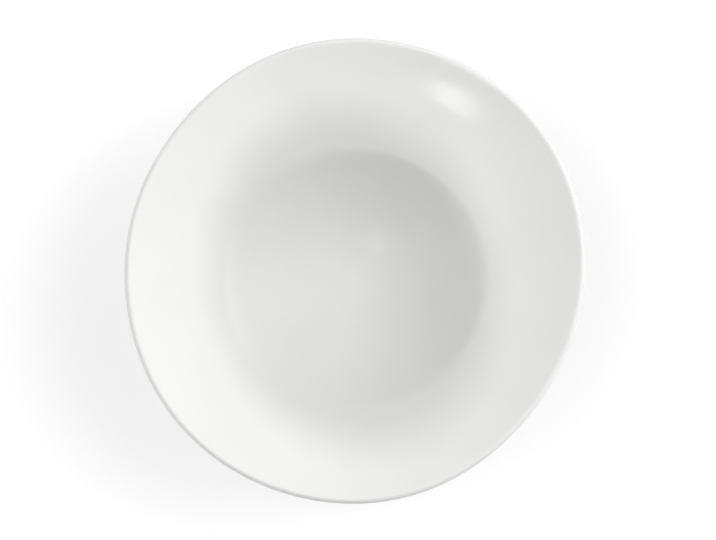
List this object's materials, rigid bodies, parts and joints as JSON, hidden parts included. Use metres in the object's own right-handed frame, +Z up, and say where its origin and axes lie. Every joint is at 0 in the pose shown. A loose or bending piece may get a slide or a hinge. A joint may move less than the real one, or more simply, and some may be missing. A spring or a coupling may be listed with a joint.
{
  "type": "pasta bowl",
  "caption": "Wide-rimmed white glazed pasta bowl, hand-formed, with a rounded well, a dished uneven rim and a turned foot ring.",
  "frame": {"origin": "on the table, under the middle of the rim's outline", "axes": "+Z up out of the bowl; +Y away from someone who looks down into it with +X to their right"},
  "size_m": [0.2778, 0.2818, 0.0605],
  "materials": {
    "fired_clay": "matt",
    "bare_foot": "matt, wiped clean",
    "white_glaze": "glossy",
    "recess_glaze": "glossy"
  },
  "bodies": {
    "root": {"clay_body": "fired_clay", "foot_ring": "bare_foot", "glaze_coat": "white_glaze", "foot_recess_glaze": "recess_glaze"}
  },
  "joints": []
}
